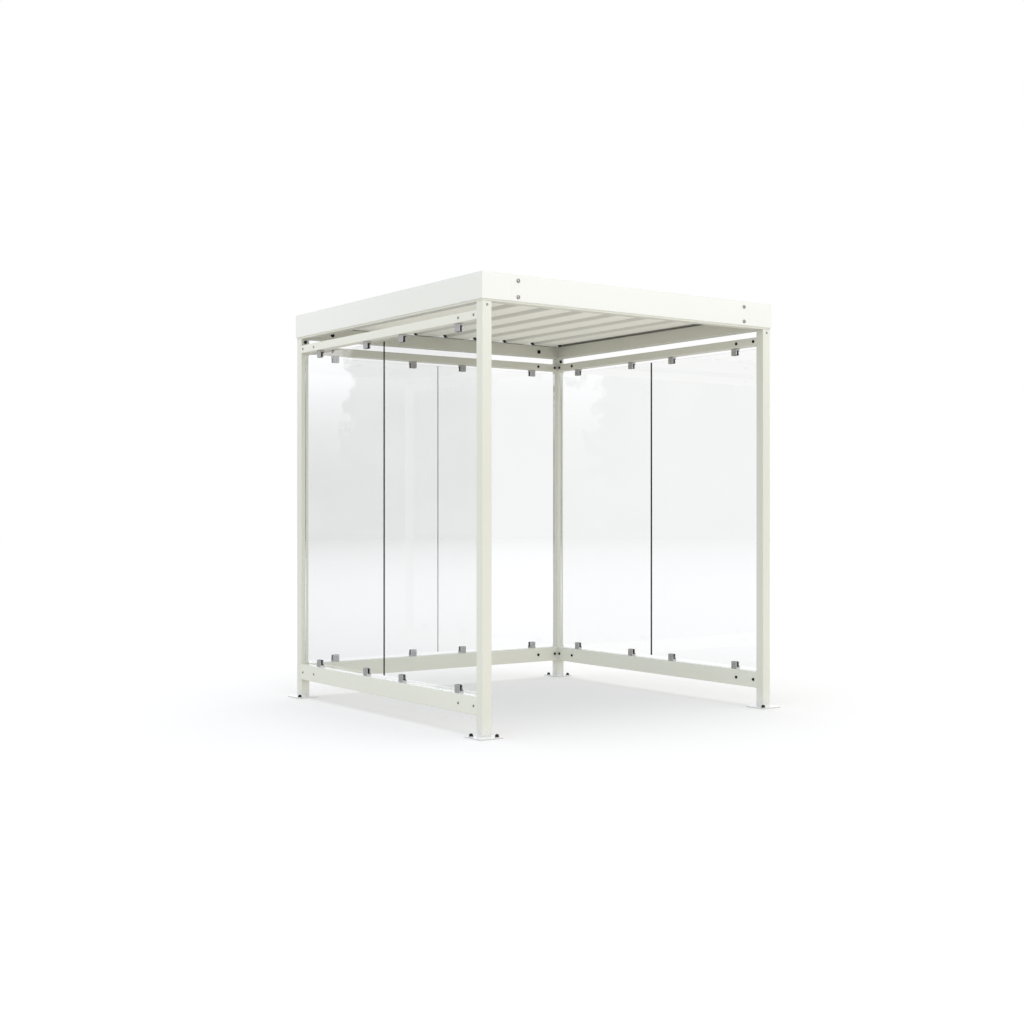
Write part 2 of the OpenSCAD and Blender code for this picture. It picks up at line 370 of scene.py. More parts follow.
class Board:
    """Adds shader nodes to one node tree and joins them."""

    def __init__(self, tree: bpy.types.NodeTree) -> None:
        """Keeps the tree and empties it."""
        self.tree = tree
        tree.nodes.clear()

    def add(self, kind: str, inputs: dict | None = None, **settings: object) -> bpy.types.Node:
        """Adds a node.

        Args:
            kind: The node's type name, without the leading ShaderNode.
            inputs: Values or sockets for its inputs, by name or number.
            settings: Its own properties, which are set before its inputs.

        Returns:
            The node.
        """
        node = self.tree.nodes.new(kind if kind.startswith("Node") else "ShaderNode" + kind)
        for name, value in settings.items():
            setattr(node, name, value)
        for key, value in (inputs or {}).items():
            if isinstance(value, bpy.types.NodeSocket):
                self.tree.links.new(value, node.inputs[key])
            else:
                node.inputs[key].default_value = value
        return node

    def math(self, operation: str, *values: object, clamp: bool = False) -> bpy.types.NodeSocket:
        """Adds a Math node on the given values or sockets and gives its result."""
        return self.add("Math", dict(enumerate(values)), operation=operation, use_clamp=clamp).outputs[0]

    def times(self, *values: object) -> bpy.types.NodeSocket:
        """Multiplies the given values or sockets, from the first to the last, and gives the product."""
        return reduce(lambda product, value: self.math("MULTIPLY", product, value), values)

    def blend(self, share: object, first: object, second: object) -> bpy.types.NodeSocket:
        """Adds a colour mix from first to second by share and gives its result."""
        return self.add("Mix", {0: share, 6: first, 7: second}, data_type="RGBA").outputs[2]

    def span(self, value: object, source: Span, target: Span = RISING) -> bpy.types.NodeSocket:
        """Adds a clamped Map Range node from one span of values to another and gives its result."""
        return self.add("MapRange", dict(enumerate((value, *source, *target)))).outputs[0]

    def noise(self, where: object, scale: object, detail: float, rough: float = 0.5) -> bpy.types.NodeSocket:
        """Adds a noise of the given scale, detail and roughness and gives its value."""
        inputs = {"Vector": where, "Scale": scale, "Detail": detail, "Roughness": rough}
        return self.add("TexNoise", inputs).outputs[0]

    def varied(self, base: object, noise: object, spread: object) -> bpy.types.NodeSocket:
        """Gives the base plus the spread times the noise's step from its middle."""
        return self.math("ADD", base, self.times(self.math("SUBTRACT", noise, 0.5), spread))

    def bump(self, height: object, strength: float, distance: float) -> bpy.types.NodeSocket:
        """Adds a Bump node and gives its normal."""
        return self.add("Bump", {"Height": height, "Strength": strength, "Distance": distance}).outputs[0]

    def place(self) -> bpy.types.NodeSocket:
        """Gives the point's place on its object."""
        return self.add("TexCoord").outputs["Object"]

    def parts(self, vector: object) -> Sockets:
        """Splits a vector and gives its X, Y and Z."""
        return self.add("SeparateXYZ", {0: vector}).outputs

    def upward(self) -> bpy.types.NodeSocket:
        """Gives how far the surface looks up, from -1 to 1."""
        return self.parts(self.add("NewGeometry").outputs["Normal"])[2]

    def group(self, tree: bpy.types.NodeTree, inputs: dict) -> Sockets:
        """Adds a shared group with the given inputs and gives its outputs."""
        return self.add("Group", inputs, node_tree=tree).outputs

    def surface(self, inputs: dict) -> None:
        """Ends the material with a Principled shader that has the given inputs."""
        self.add("OutputMaterial", {"Surface": self.add("BsdfPrincipled", inputs).outputs[0]})


def solid(colour: Colour) -> tuple[float, float, float, float]:
    """The colour with full alpha."""
    return (*colour, 1.0)


@dataclass(frozen=True)
class SurfaceGroups:
    """The shader node groups that several finishes share, each built once.

    A scale is the number of noise cells in a metre, and a span is the part of the noise used.
    """

    drift_scale: float = 2.3
    drift_span: Span = (0.3, 0.7)
    speck_scale: float = 60.0
    dust_and_light_scale: float = 14.0
    dust_and_light_span: Span = (0.35, 0.7)
    dust_and_light_thinnest: float = 0.2
    dust_and_light_facing: Span = (0.5, 1.0)
    dust_and_light_lying: float = 0.6
    line_span: Span = (0.35, 0.65)
    line_squeeze: float = 0.06
    cloud_scale: float = 90.0

    def start(
        self, name: str, inputs: dict[str, object], outputs: tuple[str, ...]
    ) -> tuple[Board, Sockets]:
        """Makes an empty group with its sockets.

        Args:
            name: The group's name.
            inputs: Each input's default, where a group of numbers is a colour.
            outputs: The outputs' names, of which Colour is a colour and the others are numbers.

        Returns:
            The group's board and the sockets of what it is given.
        """
        tree = bpy.data.node_groups.new(name, "ShaderNodeTree")
        for label, default in inputs.items():
            kind = "NodeSocketColor" if isinstance(default, tuple) else "NodeSocketFloat"
            tree.interface.new_socket(label, in_out="INPUT", socket_type=kind).default_value = default
        for label in outputs:
            kind = "NodeSocketColor" if label == "Colour" else "NodeSocketFloat"
            tree.interface.new_socket(label, in_out="OUTPUT", socket_type=kind)
        board = Board(tree)
        return board, board.add("NodeGroupInput").outputs

    @cache
    def coat_grain(self) -> bpy.types.NodeTree:
        """Powder coat: fine orange peel, a faint tone drift and a gloss that varies a little.

        Height is a smooth noise at the peel's scale. Colour runs from the base to the shade with a
        slow noise. Roughness is the base plus its spread times a middle noise.

        Returns:
            The group.
        """
        inputs = {
            "Colour": solid((0.8, 0.8, 0.8)),
            "Shade": solid((0.7, 0.7, 0.7)),
            "Peel Scale": 700.0,
            "Gloss": 0.4,
            "Gloss Spread": 0.08,
        }
        board, given = self.start("coat_grain", inputs, ("Colour", "Roughness", "Height"))
        place = board.place()
        peel = board.noise(place, given["Peel Scale"], 2.0)
        drift = board.noise(place, self.drift_scale, 3.0, 0.6)
        speck = board.noise(place, self.speck_scale, 4.0)
        results = {
            "Colour": board.blend(board.span(drift, self.drift_span), given["Colour"], given["Shade"]),
            "Roughness": board.varied(given["Gloss"], speck, given["Gloss Spread"]),
            "Height": peel,
        }
        board.add("NodeGroupOutput", results)
        return board.tree

    @cache
    def settled_dust_and_light(self) -> bpy.types.NodeTree:
        """Dust, and painted light where a coat gives it a pale tone, laid on upward faces and near the floor,
        thinning out with height above it.

        The share is how far the face looks up, or a low rim near the floor, times a soft noise,
        times the amount.

        Returns:
            The group.
        """
        inputs = {
            "Colour": solid((0.8, 0.8, 0.8)),
            "Dust": solid((0.5, 0.47, 0.42)),
            "Amount": 0.2,
            "Reach": 0.25,
        }
        board, given = self.start("settled_dust_and_light", inputs, ("Colour", "Share"))
        place = board.place()
        height = board.math("DIVIDE", board.parts(place)[2], given["Reach"])
        low = board.math("SUBTRACT", 1.0, height, clamp=True)
        lying = board.span(board.upward(), self.dust_and_light_facing, (0.0, self.dust_and_light_lying))
        clumps = board.noise(place, self.dust_and_light_scale, 6.0, 0.65)
        patches = board.span(clumps, self.dust_and_light_span, (self.dust_and_light_thinnest, 1.0))
        share = board.times(board.math("MAXIMUM", board.times(low, low), lying), patches, given["Amount"])
        results = {"Colour": board.blend(share, given["Colour"], given["Dust"]), "Share": share}
        board.add("NodeGroupOutput", results)
        return board.tree

    @cache
    def brushed(self) -> bpy.types.NodeTree:
        """Fine drawn lines in metal: a noise squeezed across one axis.

        Colour runs between two tones and Height follows the same lines, while Roughness follows
        a rounder noise.

        Returns:
            The group.
        """
        inputs = {
            "Light": solid((0.6, 0.6, 0.6)),
            "Dark": solid((0.45, 0.45, 0.45)),
            "Line Scale": 1200.0,
            "Gloss": 0.35,
            "Gloss Spread": 0.12,
        }
        board, given = self.start("brushed", inputs, ("Colour", "Roughness", "Height"))
        place = board.place()
        squeeze = (1.0, 1.0, self.line_squeeze)
        squeezed = board.add("Mapping", {"Vector": place, "Scale": squeeze}).outputs[0]
        lines = board.noise(squeezed, given["Line Scale"], 3.0)
        clouds = board.noise(place, self.cloud_scale, 3.0)
        results = {
            "Colour": board.blend(board.span(lines, self.line_span), given["Light"], given["Dark"]),
            "Roughness": board.varied(given["Gloss"], clouds, given["Gloss Spread"]),
            "Height": lines,
        }
        board.add("NodeGroupOutput", results)
        return board.tree


GROUPS = SurfaceGroups()


@dataclass(frozen=True)
class Finish:
    """What a surface is made of. A kind of finish fills in its own shader."""

    name: str

    def material(self) -> bpy.types.Material:
        """Gives the finish's material, and builds it the first time.

        Returns:
            The material.
        """
        ready = bpy.data.materials.get(self.name)
        if ready is None:
            ready = bpy.data.materials.new(self.name)
            ready.use_nodes = True
            self.fill(Board(ready.node_tree))
        return ready

    def fill(self, board: Board) -> None:
        """Builds the shader on an empty board."""
        raise NotImplementedError

    def dress(self, *names: str) -> None:
        """Puts the material on the slots of the named nodes.

        Args:
            names: The nodes' names.
        """
        for name in names:
            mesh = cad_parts[name].data
            if not mesh.materials:
                mesh.materials.append(self.material())
            for index in range(len(mesh.materials)):
                mesh.materials[index] = self.material()


@dataclass(frozen=True)
class PowderCoat(Finish):
    """Satin powder coat on steel, with orange peel and a tone near the floor and on top: dark dust in most
    coats, and painted light where the tone is pale.
    """

    colour: Colour = (0.79, 0.812, 0.705)
    shade: Colour = (0.778, 0.80, 0.692)
    gloss: float = 0.22
    peel_scale: float = 650.0
    peel_strength: float = 0.35
    peel_depth: float = 0.03 * MM
    ior: float = 1.45
    dust: float = 0.04
    dust_and_light_reach: float = 0.16
    dust_and_light_tone: Colour = (0.52, 0.50, 0.45)
    dust_and_light_rough: float = 0.4

    def fill(self, board: Board) -> None:
        """Builds the coat: grain group, group of dust and painted light, then the shader.

        Args:
            board: The material's board.
        """
        colour, shade = self.tones(board)
        inputs = {"Colour": colour, "Shade": shade, "Peel Scale": self.peel_scale, "Gloss": self.gloss}
        grain = board.group(GROUPS.coat_grain(), inputs)
        inputs = {
            "Colour": grain["Colour"],
            "Dust": solid(self.dust_and_light_tone),
            "Amount": self.dust,
            "Reach": self.dust_and_light_reach,
        }
        dust = board.group(GROUPS.settled_dust_and_light(), inputs)
        dulled = board.times(dust["Share"], self.dust_and_light_rough)
        board.surface(
            {
                "Base Color": dust["Colour"],
                "Roughness": board.math("ADD", grain["Roughness"], dulled),
                "Normal": board.bump(grain["Height"], self.peel_strength, self.peel_depth),
                "IOR": self.ior,
            }
        )

    def tones(self, board: Board) -> tuple[object, object]:
        """Gives the two tones of the grain group."""
        return solid(self.colour), solid(self.shade)


@dataclass(frozen=True)
class RibbedCoat(PowderCoat):
    """Matt coil coat on the ribbed sheet, with its ribs' flanks and crowns painted greyer as shade.

    The ribs' undersides get a near-black painted shade over the front and rear beams.
    """

    colour: Colour = (0.90, 0.92, 0.84)
    rib_shade: Colour = (0.73, 0.745, 0.68)
    beam_end_shade: Colour = (0.07, 0.065, 0.055)
    gloss: float = 0.6
    ior: float = 1.0
    rib_shade_heights: Span = (2.4302, 2.434)
    beam_end_shade_ends: Span = (0.998, 1.008)
    beam_end_shade_below: Span = (0.0, -0.1)

    def tones(self, board: Board) -> tuple[object, object]:
        """Runs both tones from the coat's to a greyer painted shade with height in a rib, and to a near-black
        painted shade under its ends over the beams.

        Args:
            board: The material's board.

        Returns:
            The same tone twice.
        """
        place = board.parts(board.place())
        # Painted shade: the tone turns greyer with height, so the ribs' flanks and crowns are darker than the
        # troughs.
        tone = board.blend(board.span(place[2], self.rib_shade_heights), solid(self.colour), solid(self.rib_shade))
        # Painted shade: near-black on downward faces at the rib ends over the front and rear beams.
        end = board.span(board.math("ABSOLUTE", place[1]), self.beam_end_shade_ends)
        inside = board.span(place[2], (self.rib_shade_heights[0], self.rib_shade_heights[0] + MM))
        below = board.span(board.upward(), self.beam_end_shade_below)
        tone = board.blend(board.times(inside, end, below), tone, solid(self.beam_end_shade))
        return tone, tone


@dataclass(frozen=True)
class ClearGlass(Finish):
    """Clear toughened glass with the faint waves that toughening leaves.

    Rays from lamps pass straight through, so the panes throw no hard shadow.
    """

    tint: Colour = (0.985, 0.992, 0.99)
    lamp_tint: Colour = (0.86, 0.87, 0.87)
    wave_scale: float = 3.2
    wave_depth: float = 0.004 * MM
    ior: float = 1.5

    def fill(self, board: Board) -> None:
        """Builds the glass and its way through for lamps.

        Args:
            board: The material's board.
        """
        waves = board.noise(board.place(), self.wave_scale, 1.0)
        glass = board.add(
            "BsdfPrincipled",
            {
                "Base Color": solid(self.tint),
                "Roughness": 0.0,
                "IOR": self.ior,
                "Transmission Weight": 1.0,
                "Normal": board.bump(waves, 1.0, self.wave_depth),
            },
        )
        clear = board.add("BsdfTransparent", {"Color": solid(self.lamp_tint)})
        paths = board.add("LightPath").outputs
        lamp = board.math("MAXIMUM", paths["Is Shadow Ray"], paths["Is Diffuse Ray"])
        mix = board.add("MixShader", {0: lamp, 1: glass.outputs[0], 2: clear.outputs[0]})
        board.add("OutputMaterial", {"Surface": mix.outputs[0]})


@dataclass(frozen=True)
class DrawnMetal(Finish):
    """Bare metal with fine drawn lines."""

    light: Colour
    dark: Colour
    gloss: float
    line_scale: float = 1200.0
    line_strength: float = 0.3
    line_depth: float = 0.02 * MM
    metallic: float = 1.0

    def fill(self, board: Board) -> None:
        """Builds the metal from the brushed group.

        Args:
            board: The material's board.
        """
        inputs = {
            "Light": solid(self.light),
            "Dark": solid(self.dark),
            "Line Scale": self.line_scale,
            "Gloss": self.gloss,
        }
        lines = board.group(GROUPS.brushed(), inputs)
        board.surface(
            {
                "Base Color": lines["Colour"],
                "Roughness": lines["Roughness"],
                "Metallic": self.metallic,
                "Normal": board.bump(lines["Height"], self.line_strength, self.line_depth),
            }
        )


@dataclass(frozen=True)
class DarkMatter(Finish):
    """A dark moulded or blackened surface: rubber, plastic cap, black bolt, and the near-black painted shade
    on the panes' end faces.
    """

    colour: Colour = (0.02, 0.02, 0.02)
    shade: Colour = (0.03, 0.03, 0.03)
    gloss: float = 0.5
    grain_scale: float = 1500.0
    grain_strength: float = 0.4
    grain_depth: float = 0.03 * MM
    ior: float = 1.3

    def fill(self, board: Board) -> None:
        """Builds the surface from the coat group at a finer grain.

        Args:
            board: The material's board.
        """
        inputs = {
            "Colour": solid(self.colour),
            "Shade": solid(self.shade),
            "Peel Scale": self.grain_scale,
            "Gloss": self.gloss,
        }
        grain = board.group(GROUPS.coat_grain(), inputs)
        board.surface(
            {
                "Base Color": grain["Colour"],
                "Roughness": grain["Roughness"],
                "IOR": self.ior,
                "Normal": board.bump(grain["Height"], self.grain_strength, self.grain_depth),
            }
        )


@dataclass(frozen=True)
class StudioFloor(Finish):
    """A matt white floor that keeps the shelter's soft shadow and throws back a slightly warm light.

    Where it is seen, straight or through glass, it glows a little, and far out it is plain white
    like the world behind it. In glass and gloss it is pale in front of the shelter, dimmer at the
    sides, and far out it fades to the dim tone of the screens.
    """

    colour: Colour = (0.77, 0.765, 0.76)
    glow: Colour = (0.25, 0.25, 0.245)
    bounce: Colour = (0.46, 0.43, 0.41)
    bounce_glow: Colour = (0.50, 0.47, 0.45)
    mirrored_front: Colour = (0.85, 0.85, 0.85)
    mirrored_side: Colour = (0.42, 0.42, 0.42)
    mirrored_far: Colour = (0.12, 0.12, 0.12)
    front: Span = (-1.0, -6.0)
    fade: Span = (14.0, 55.0)

    def material(self) -> bpy.types.Material:
        """Gives the floor's material, whose glow is met by rays only and never sampled as a lamp.

        Returns:
            The material.
        """
        ready = super().material()
        ready.cycles.emission_sampling = "NONE"
        return ready

    def fill(self, board: Board) -> None:
        """Builds a matt floor with a tone each for sight, for scattered light and for mirrors.

        Args:
            board: The material's board.
        """
        paths = board.add("LightPath").outputs
        scattered = paths["Is Diffuse Ray"]
        in_mirror = board.math("SUBTRACT", paths["Glossy Depth"], scattered, clamp=True)
        place = board.place()
        ahead = board.span(board.parts(place)[1], self.front)
        distance = board.add("VectorMath", {0: place}, operation="LENGTH").outputs["Value"]
        far = board.span(distance, self.fade)
        near = board.blend(ahead, solid(self.mirrored_side), solid(self.mirrored_front))
        reflection = board.blend(far, near, solid(self.mirrored_far))
        black, white = solid((0, 0, 0)), solid((1, 1, 1))
        tone = board.blend(in_mirror, board.blend(far, solid(self.colour), black), reflection)
        glow = board.blend(in_mirror, board.blend(far, solid(self.glow), white), black)
        board.surface(
            {
                "Base Color": board.blend(scattered, tone, solid(self.bounce)),
                "Roughness": 1.0,
                "Specular IOR Level": 0.0,
                "Emission Color": board.blend(scattered, glow, solid(self.bounce_glow)),
                "Emission Strength": 1.0,
            }
        )


# The frame's near-white tone near the floor and on upward faces is painted light: it lifts the shade at the
# posts' feet and lightens the tops.
FRAME_COAT = PowderCoat("frame_coat", dust=1.2, dust_and_light_tone=(1.0, 1.0, 0.97), dust_and_light_rough=0.15)
# The plate's own colour is darkened as painted shade on its sides, and its white tone on upward faces is
# painted light on its top.
PLATE_COAT = PowderCoat(
    "plate_coat",
    colour=(0.75, 0.755, 0.71),
    shade=(0.74, 0.745, 0.70),
    gloss=0.26,
    dust=3.5,
    dust_and_light_reach=0.001,
    dust_and_light_tone=(1.0, 1.0, 1.0),
    dust_and_light_rough=0.0,
)
FASCIA_COAT = PowderCoat("fascia_coat", (0.852, 0.877, 0.808), (0.842, 0.867, 0.798), 0.2)
# A lighter copy of the frame's coat for the rails and their welds: painted light for the floor's bounce near
# the ground.
RAIL_COAT_LIT = PowderCoat("rail_coat_lit", (0.825, 0.848, 0.738), (0.813, 0.836, 0.724))
# The sheet's greyer ribs and its near-black rib ends over the beams are painted shade.
SHEET_COAT = RibbedCoat("sheet_coat")
PANE_GLASS = ClearGlass("clear_toughened")
# Painted shade: near-black bars on the panes' end faces give the dark lines at the glass joints.
PANE_EDGE_SHADE = DarkMatter("painted_edge_shade", (0.010, 0.013, 0.012), (0.016, 0.02, 0.018), 0.18)
CLAMP_METAL = DrawnMetal("satin_clamp", (0.585, 0.575, 0.565), (0.49, 0.48, 0.47), 0.42, metallic=0.6)
SCREW_METAL = DrawnMetal("bright_screw", (0.40, 0.39, 0.36), (0.31, 0.30, 0.28), 0.32)
CLAMP_RUBBER = DarkMatter("black_rubber", gloss=0.75)
BLACK_BOLT = DarkMatter("black_bolt", (0.008, 0.008, 0.008), (0.012, 0.012, 0.012))
CAP_PLASTIC = DarkMatter("cap_plastic", (0.006, 0.006, 0.006), (0.01, 0.01, 0.01))


# ---------------------------------------------------------------- fasteners


@dataclass(frozen=True)
class Fastener:
    """A small turned part that stands on a surface. A kind of fastener gives its own rings."""

    diameter: float = 14 * MM
    height: float = 4 * MM
    segments: int = 24

    def rings(self) -> list[tuple[float, float, float]]:
        """Lists radius, height and hex share of each ring, from the foot to the top."""
        raise NotImplementedError

    def fasten(
        self, name: str, slot: str, finish: Finish, places: np.ndarray | list, axis: np.ndarray, seed: int
    ) -> None:
        """Sets one part at each place, turned by its own amount, and makes them one piece.

        Args:
            name: The new piece's name.
            slot: The record's slot; not used.
            finish: Its finish.
            places: The parts' feet.
            axis: The direction that they stand out in.
            seed: Seed for the turns.
        """
        turns = np.random.default_rng(seed).uniform(0, 2 * math.pi, len(places))
        frames = standing(np.asarray(places, float), axis, turns)
        turned(self.rings(), self.segments).placed(frames).piece(name, slot, finish)


def hex_radius(across: float) -> float:
    """The corner radius of a hexagon with the given width across its flats."""
    return across / 2 / math.cos(math.pi / 6)


@dataclass(frozen=True)
class PanHead(Fastener):
    """A low pan head with a hexagon socket."""

    socket: float = 6 * MM
    depth: float = 2.4 * MM

    def rings(self) -> list[tuple[float, float, float]]:
        """Lists a short wall, a domed shoulder, then the socket's mouth, wall and floor.

        Returns:
            Radius, height and hex share of each ring.
        """
        r, h, mouth = self.diameter / 2, self.height, hex_radius(self.socket)
        shoulder = ((1, 0), (1, 0.25), (0.97, 0.5), (0.86, 0.78), (0.68, 0.95))
        rings = [(wide * r, high * h, 0) for wide, high in shoulder]
        return rings + [(mouth * 1.15, h, 0.4), (mouth, h - 0.3 * MM, 1), (mouth, h - self.depth, 1)]


@dataclass(frozen=True)
class DomeCap(Fastener):
    """A round cap with a short skirt, as a share of its height, and a domed top."""

    skirt: float = 0.3
    flange: float = 1.0
    steps: int = 5
    last_angle: float = 0.46 * math.pi

    def rings(self) -> list[tuple[float, float, float]]:
        """Lists the skirt's rings, then the dome's, of radius r cos a and height skirt + rest sin a.

        Returns:
            Radius, height and hex share of each ring.
        """
        r, low = self.diameter / 2, self.height * self.skirt
        rings = [(r * self.flange, 0, 0), (r * self.flange, low * 0.35, 0), (r, low * 0.55, 0)]
        angles = np.linspace(0, self.last_angle, self.steps)
        return rings + [(r * math.cos(a), low + (self.height - low) * math.sin(a), 0) for a in angles]


@dataclass(frozen=True)
class HexHead(Fastener):
    """A hexagon head on a round flange, with a chamfered top."""

    height: float = 5 * MM
    across: float = 8 * MM
    flange: float = 0.8 * MM
    neck: float = 1.3 * MM

    def rings(self) -> list[tuple[float, float, float]]:
        """Lists a thin flange, the six flats, then the chamfer and the flat top."""
        r, f, h = hex_radius(self.across), self.diameter / 2, self.height
        return [(f, 0, 0), (f, self.flange, 0), (r, self.neck, 1), (r, 0.85 * h, 1), (0.86 * r, h, 0.2)]


@dataclass(frozen=True)
class FlatScrew(Fastener):
    """A flush screw head with a hexagon socket, which stands barely proud."""

    diameter: float = 9 * MM
    height: float = 0.5 * MM
    segments: int = 18
    socket: float = 3.5 * MM
    depth: float = 0.4 * MM

    def rings(self) -> list[tuple[float, float, float]]:
        """Lists a low bevelled disc and the socket's shallow floor."""
        r, h, mouth = self.diameter / 2, self.height, hex_radius(self.socket)
        return [(r, 0, 0), (r, 0.4 * h, 0), (0.94 * r, h, 0), (mouth, h, 1), (mouth, h - self.depth, 1)]


# ---------------------------------------------------------------- sub-assemblies


@dataclass
class GlazedWall:
    """One wall: its rails, screws, clamps with rubbers, panes and the painted shade on the panes' end faces.
    """

    wall: Wall
    screw_from_end: Span = (25 * MM, 175 * MM)
    head: PanHead = PanHead()
    inner_cap: DomeCap = DomeCap(19 * MM, 8 * MM)
    clamp_screw: FlatScrew = FlatScrew()
    clamp_screw_rise: float = 0.62
    clamp_gap: float = 60 * MM
    edge_depth: float = 0.6 * MM
    bevel: float = 0.2 * MM
    tube_radius: float = 4 * MM
    weld_overlap: float = 0.1 * MM
    weld_below: float = 0.02 * MM

    def __post_init__(self) -> None:
        """Notes the wall's name and the names of its rails and panes."""
        self.side = self.wall.value
        self.rails = [f"{height}_rail_{self.side}" for height in ("low", "high")]
        ends = ("left", "right") if self.wall is Wall.REAR else ("front", "rear")
        self.panes = [f"glass_{self.side}_{end}" for end in ends]

    def build(self) -> None:
        """Dresses the nodes and adds the fasteners, the painted shade on the pane ends and the welds."""
        RAIL_COAT_LIT.dress(*self.rails)
        PANE_GLASS.dress(*self.panes)
        CLAMP_METAL.dress(f"low_clamps_{self.side}", f"high_clamps_{self.side}")
        CLAMP_RUBBER.dress(f"clamp_rubbers_{self.side}")
        self.rail_fasteners()
        self.clamp_screws()
        self.pane_edge_shades()
        self.welds()
        LOG.info("wall %s: rails, panes, clamps, fasteners and welds", self.side)

    def screw_places(self, outward: np.ndarray) -> np.ndarray:
        """Lists where the rail screws come out.

        Args:
            outward: The direction that the rails' face looks in.

        Returns:
            One point per screw, at the rail's mid-height, at each end's two distances.
        """
        places = []
        for rail in self.rails:
            low, high = node_box(rail)
            reach = float((high - low) @ self.wall.along) / 2
            offsets = np.array([end * (reach - inset) for end in (-1, 1) for inset in self.screw_from_end])
            places.append(face_middle(low, high, outward) + offsets[:, None] * self.wall.along)
        return np.concatenate(places)

    def rail_fasteners(self) -> None:
        """Adds bright heads on the outer faces and black caps on the inner faces."""
        number, out = list(Wall).index(self.wall), self.wall.outward
        places, seed = self.screw_places(out), Seed.RAIL_SCREWS + number
        self.head.fasten(f"rail_screws_{self.side}", "frame_paint", SCREW_METAL, places, out, seed)
        places, seed = self.screw_places(-out), Seed.RAIL_CAPS + number
        self.inner_cap.fasten(f"rail_caps_{self.side}", "clamp_rubber", BLACK_BOLT, places, -out, seed)

    def clamp_screws(self) -> None:
        """Adds one flush screw to the inner face of each clamp, on the clamp's free end."""
        places, inward = [], -self.wall.outward
        for row, rise in (("low", self.clamp_screw_rise), ("high", 1 - self.clamp_screw_rise)):
            for low, high in self.solid_boxes(f"{row}_clamps_{self.side}"):
                spot = face_middle(low, high, inward)
                spot[2] = low[2] + rise * (high[2] - low[2])
                places.append(spot)
        name = f"clamp_screws_{self.side}"
        self.clamp_screw.fasten(name, "clamp_metal", SCREW_METAL, places, inward, Seed.CLAMP_SCREWS)

    def solid_boxes(self, node: str) -> list[tuple[np.ndarray, np.ndarray]]:
        """Splits a node that holds like solids in a row into their boxes.

        The points are sorted along the node's longest side, and a gap wider than the solids' own
        width parts one from the next.

        Args:
            node: The node's name.

        Returns:
            The lowest and highest corners of each solid.
        """
        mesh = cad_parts[node].data
        points = np.zeros(len(mesh.vertices) * 3)
        mesh.vertices.foreach_get("co", points)
        points = points.reshape(-1, 3)
        axis = int(np.argmax(np.ptp(points, axis=0)))
        points = points[np.argsort(points[:, axis])]
        cuts = np.flatnonzero(np.diff(points[:, axis]) > self.clamp_gap) + 1
        return [(part.min(0), part.max(0)) for part in np.split(points, cuts)]

    def pane_edge_shades(self) -> None:
        """Adds a near-black thin bar on each pane's end face at the upright joint, as painted shade for the
        darkness seen in the glass's edges.
        """
        along, out = self.wall.along, np.abs(self.wall.outward)
        edges = []
        for pane, sign in zip(self.panes, (1, -1)):
            low, high = node_box(pane)
            end = float((high if sign > 0 else low) @ along)
            depth = float((high - low) @ out) / 2
            loop, _ = rounded_loop(self.edge_depth / 2, depth, self.bevel, 3)
            middle = along * (end + sign * self.edge_depth / 2) + out * float((low + high) @ out) / 2
            turn = np.column_stack([along, np.cross(UP, along), UP, middle])
            edges.append(bar(loop, float(low[2]), float(high[2])).placed(turn[None]))
        merged(edges).piece(f"pane_edge_shades_{self.side}", "pane_glass", PANE_EDGE_SHADE)

    def welds(self) -> None:
        """Fills the groove between each rail's end and its post's rounded edge, ground flush.

        Each fill is an upright bar as wide as the edge's radius, which ends where the rail's own
        long edges begin to round. It overlaps the rail's end and lies a hair below its face.
        """
        along, out = self.wall.along, self.wall.outward
        bite = self.tube_radius / 2
        loop, _ = rounded_loop(bite, bite, self.bevel, 2)
        fills = []
        for rail in self.rails:
            low, high = node_box(rail)
            strip = bar(loop, float(low[2]) + self.tube_radius, float(high[2]) - self.tube_radius)
            reach, half = float((high - low) @ along) / 2, float((high - low) @ np.abs(out)) / 2
            middle = (low + high) / 2 * np.array([1, 1, 0])
            beyond, within = reach + bite - self.weld_overlap, half - bite - self.weld_below
            steps = [along * end * beyond + out * face * within for end in (-1, 1) for face in (-1, 1)]
            frames = [np.column_stack([np.eye(3), middle + step]) for step in steps]
            fills.append(strip.placed(np.array(frames)))
        merged(fills).piece(f"rail_welds_{self.side}", "frame_paint", RAIL_COAT_LIT)


